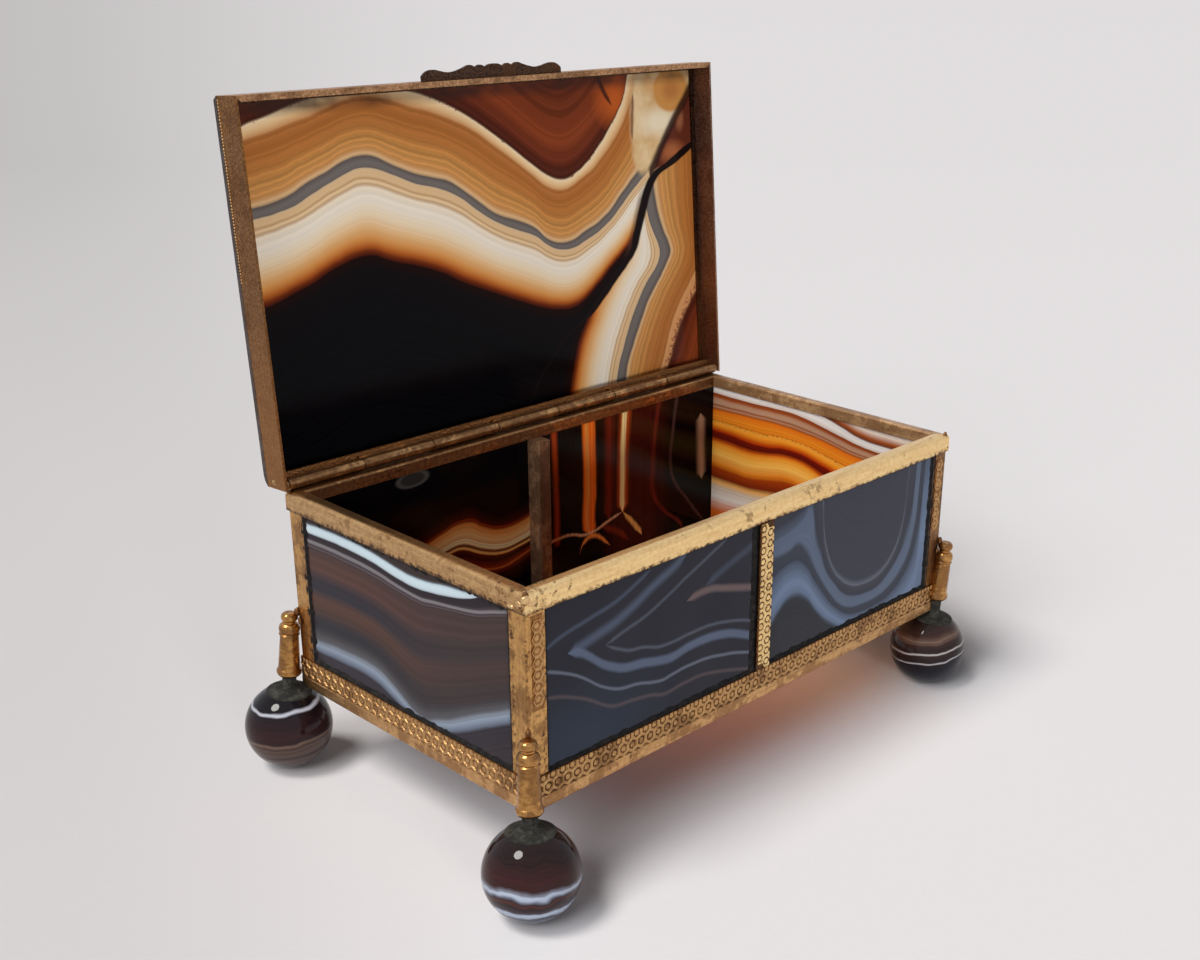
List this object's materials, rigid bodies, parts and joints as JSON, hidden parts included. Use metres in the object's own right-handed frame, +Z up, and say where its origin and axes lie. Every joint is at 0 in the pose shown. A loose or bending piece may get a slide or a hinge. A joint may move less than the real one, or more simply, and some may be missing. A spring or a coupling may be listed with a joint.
{
  "type": "agate box",
  "caption": "Hinged rectangular keepsake casket of agate panels in a gilt brass frame, on turned colonettes with agate ball feet.",
  "frame": {"origin": "on the table, under the middle of the box and of its four balls", "axes": "+X along the front to the right, +Y to the back where the hinge is, +Z up; the lid stands open"},
  "size_m": [0.1418, 0.0915, 0.1325],
  "materials": {
    "gilt_brass": "worn gilt brass sheet, brown in the hollows and bright on the edges",
    "stamped_brass": "stamped gilt brass strip with rows of small honeycomb cells",
    "turned_brass": "turned gilt brass, rubbed bright on the knobs",
    "hinge_brass": "darkened brass",
    "lid_brass": "darkened gilt brass with a fine pebbled skin",
    "agate_front": "polished slate-blue agate with pale blue bands",
    "agate_back": "polished black and amber agate",
    "agate_end": "polished brown and white banded agate",
    "agate_lid": "polished translucent agate with tan, grey, cream and black bands",
    "agate_floor": "polished dark agate",
    "agate_ball": "polished dark agate with white bands round it",
    "putty": "old dark bedding putty",
    "cement": "rough dark grey-green cement"
  },
  "bodies": {
    "casket": {"rim_front": "gilt_brass", "rim_right": "gilt_brass", "rim_back": "gilt_brass", "rim_left": "gilt_brass", "rail_front": "gilt_brass", "gallery_front": "stamped_brass", "rail_right": "gilt_brass", "gallery_right": "stamped_brass", "rail_back": "gilt_brass", "gallery_back": "stamped_brass", "rail_left": "gilt_brass", "gallery_left": "stamped_brass", "post_front_left": "gilt_brass", "post_front_right": "gilt_brass", "post_back_left": "gilt_brass", "post_back_right": "gilt_brass", "stone_front_left": "agate_front", "stone_front_right": "agate_front", "putty_front_left": "putty", "putty_front_right": "putty", "stone_back_right": "agate_back", "stone_back_left": "agate_back", "putty_back_right": "putty", "putty_back_left": "putty", "stone_left": "agate_end", "putty_left": "putty", "stone_right": "agate_end", "putty_right": "putty", "stone_floor": "agate_floor", "mullion_core_front": "gilt_brass", "mullion_strip_front": "stamped_brass", "mullion_core_back": "gilt_brass", "mullion_strip_back": "stamped_brass", "ball_front_left": "agate_ball", "peg_front_left": "hinge_brass", "cement_front_left": "cement", "colonette_front_left": "turned_brass", "ball_front_right": "agate_ball", "peg_front_right": "hinge_brass", "cement_front_right": "cement", "colonette_front_right": "turned_brass", "ball_back_left": "agate_ball", "peg_back_left": "hinge_brass", "cement_back_left": "cement", "colonette_back_left": "turned_brass", "ball_back_right": "agate_ball", "peg_back_right": "hinge_brass", "cement_back_right": "cement", "colonette_back_right": "turned_brass", "hinge_knuckles_body": "hinge_brass", "hinge_pin": "hinge_brass"},
    "lid": {"lid_wall_front": "lid_brass", "lid_wall_right": "lid_brass", "lid_wall_back": "lid_brass", "lid_wall_left": "lid_brass", "lid_slab": "agate_lid", "lid_bead": "lid_brass", "hinge_knuckles_lid": "hinge_brass", "thumbpiece": "lid_brass"}
  },
  "joints": [
    {"name": "lid_hinge", "type": "hinge", "parent": "casket", "child": "lid", "pos_m": [0, 0.0338, 0.0596], "axis": [1, 0, 0], "range_deg": [0, 94]}
  ]
}
